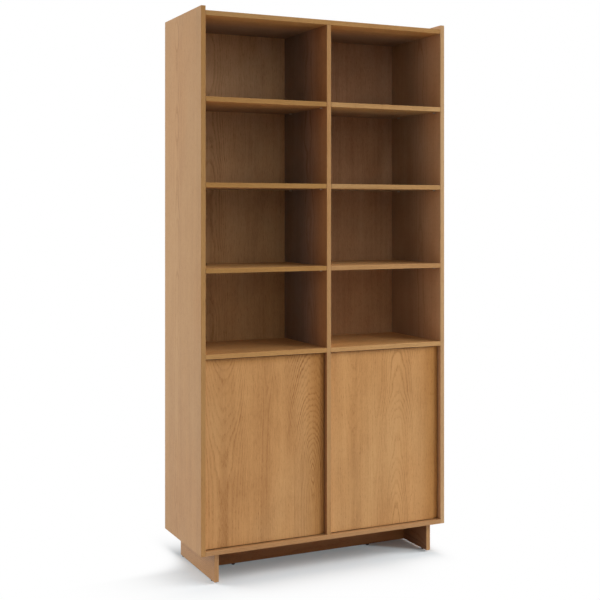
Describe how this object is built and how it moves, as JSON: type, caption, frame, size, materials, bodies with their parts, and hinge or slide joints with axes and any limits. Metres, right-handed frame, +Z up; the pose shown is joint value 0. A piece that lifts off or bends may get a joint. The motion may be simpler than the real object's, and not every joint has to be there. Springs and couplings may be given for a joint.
{
  "type": "bookcase with cupboard doors",
  "caption": "Tall veneered bookcase with open shelf bays side by side above a pair of recessed hinged cupboard doors, standing on an inset board base.",
  "frame": {"origin": "on the floor, under the middle of the bookcase's width and depth", "axes": "+X towards the bookcase's right as seen from its front, +Y towards its back, +Z up"},
  "size_m": [1, 0.395, 2.0325],
  "materials": {
    "side_oak": "satin lacquered oak veneer",
    "divider_oak": "satin lacquered oak veneer",
    "top_oak": "satin lacquered oak veneer",
    "bottom_oak": "satin lacquered oak veneer",
    "fixed_shelf_oak": "satin lacquered oak veneer",
    "shelf_oak": "satin lacquered oak veneer",
    "back_oak": "satin lacquered oak veneer",
    "door_oak": "satin lacquered oak veneer",
    "base_oak": "satin lacquered oak veneer",
    "pin_nickel": "nickel plated",
    "pivot_steel": "zinc plated",
    "bush_nylon": "moulded",
    "catch_plastic": "moulded",
    "strike_steel": "zinc plated",
    "glide_plastic": "moulded"
  },
  "bodies": {
    "carcass": {"left_side_panel": "side_oak", "right_side_panel": "side_oak", "centre_divider": "divider_oak", "top_panel": "top_oak", "bottom_panel": "bottom_oak", "left_fixed_shelf": "fixed_shelf_oak", "right_fixed_shelf": "fixed_shelf_oak", "left_back_panel": "back_oak", "right_back_panel": "back_oak", "left_shelf_1": "shelf_oak", "left_shelf_2": "shelf_oak", "left_shelf_3": "shelf_oak", "right_shelf_1": "shelf_oak", "right_shelf_2": "shelf_oak", "right_shelf_3": "shelf_oak", "left_side_pin_1_front": "pin_nickel", "left_side_pin_1_rear": "pin_nickel", "left_side_pin_2_front": "pin_nickel", "left_side_pin_2_rear": "pin_nickel", "left_side_pin_3_front": "pin_nickel", "left_side_pin_3_rear": "pin_nickel", "divider_pin_1_front": "pin_nickel", "divider_pin_1_rear": "pin_nickel", "divider_pin_2_front": "pin_nickel", "divider_pin_2_rear": "pin_nickel", "divider_pin_3_front": "pin_nickel", "divider_pin_3_rear": "pin_nickel", "right_side_pin_1_front": "pin_nickel", "right_side_pin_1_rear": "pin_nickel", "right_side_pin_2_front": "pin_nickel", "right_side_pin_2_rear": "pin_nickel", "right_side_pin_3_front": "pin_nickel", "right_side_pin_3_rear": "pin_nickel", "left_door_lower_pivot": "pivot_steel", "left_door_upper_pivot": "pivot_steel", "right_door_lower_pivot": "pivot_steel", "right_door_upper_pivot": "pivot_steel", "left_door_catch": "catch_plastic", "right_door_catch": "catch_plastic", "left_base_side": "base_oak", "right_base_side": "base_oak", "base_rail": "base_oak", "left_front_glide": "glide_plastic", "left_rear_glide": "glide_plastic", "right_front_glide": "glide_plastic", "right_rear_glide": "glide_plastic", "rail_left_glide": "glide_plastic", "rail_right_glide": "glide_plastic"},
    "left_door": {"left_door": "door_oak", "left_door_lower_bush": "bush_nylon", "left_door_upper_bush": "bush_nylon", "left_door_strike": "strike_steel"},
    "right_door": {"right_door": "door_oak", "right_door_lower_bush": "bush_nylon", "right_door_upper_bush": "bush_nylon", "right_door_strike": "strike_steel"}
  },
  "joints": [
    {"name": "left_door_hinge", "type": "hinge", "parent": "carcass", "child": "left_door", "pos_m": [-0.465, -0.177, 0.126], "axis": [0, 0, -1], "range_deg": [0, 105]},
    {"name": "right_door_hinge", "type": "hinge", "parent": "carcass", "child": "right_door", "pos_m": [0.0265, -0.177, 0.126], "axis": [0, 0, -1], "range_deg": [0, 105]}
  ]
}
